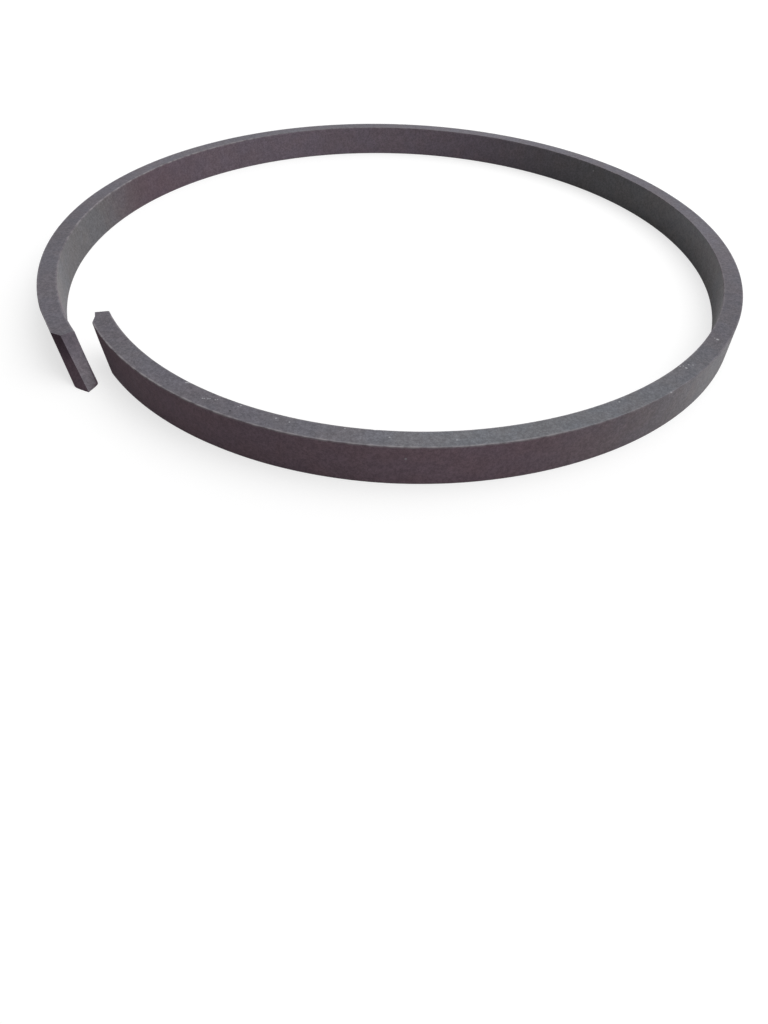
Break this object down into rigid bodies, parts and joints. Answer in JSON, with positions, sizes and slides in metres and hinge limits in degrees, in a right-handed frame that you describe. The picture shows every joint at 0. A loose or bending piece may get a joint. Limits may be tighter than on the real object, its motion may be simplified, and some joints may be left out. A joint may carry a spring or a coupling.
{
  "type": "wiper ring",
  "caption": "Split plastic wiper ring of plain rectangular section, lying free, with two sloping scarf-cut ends that pass each other side by side.",
  "frame": {"origin": "centre of the free ring's outline, in the plane that it lies on", "axes": "+Z along the ring's axis, out of the upper side; -Y is the front; the two ends pass each other at the left front"},
  "size_m": [0.2036, 0.2006, 0.0105],
  "materials": {
    "filled_plastic": "fine matte grain, as machined"
  },
  "bodies": {
    "root": {"wiper_ring": "filled_plastic"}
  },
  "joints": []
}
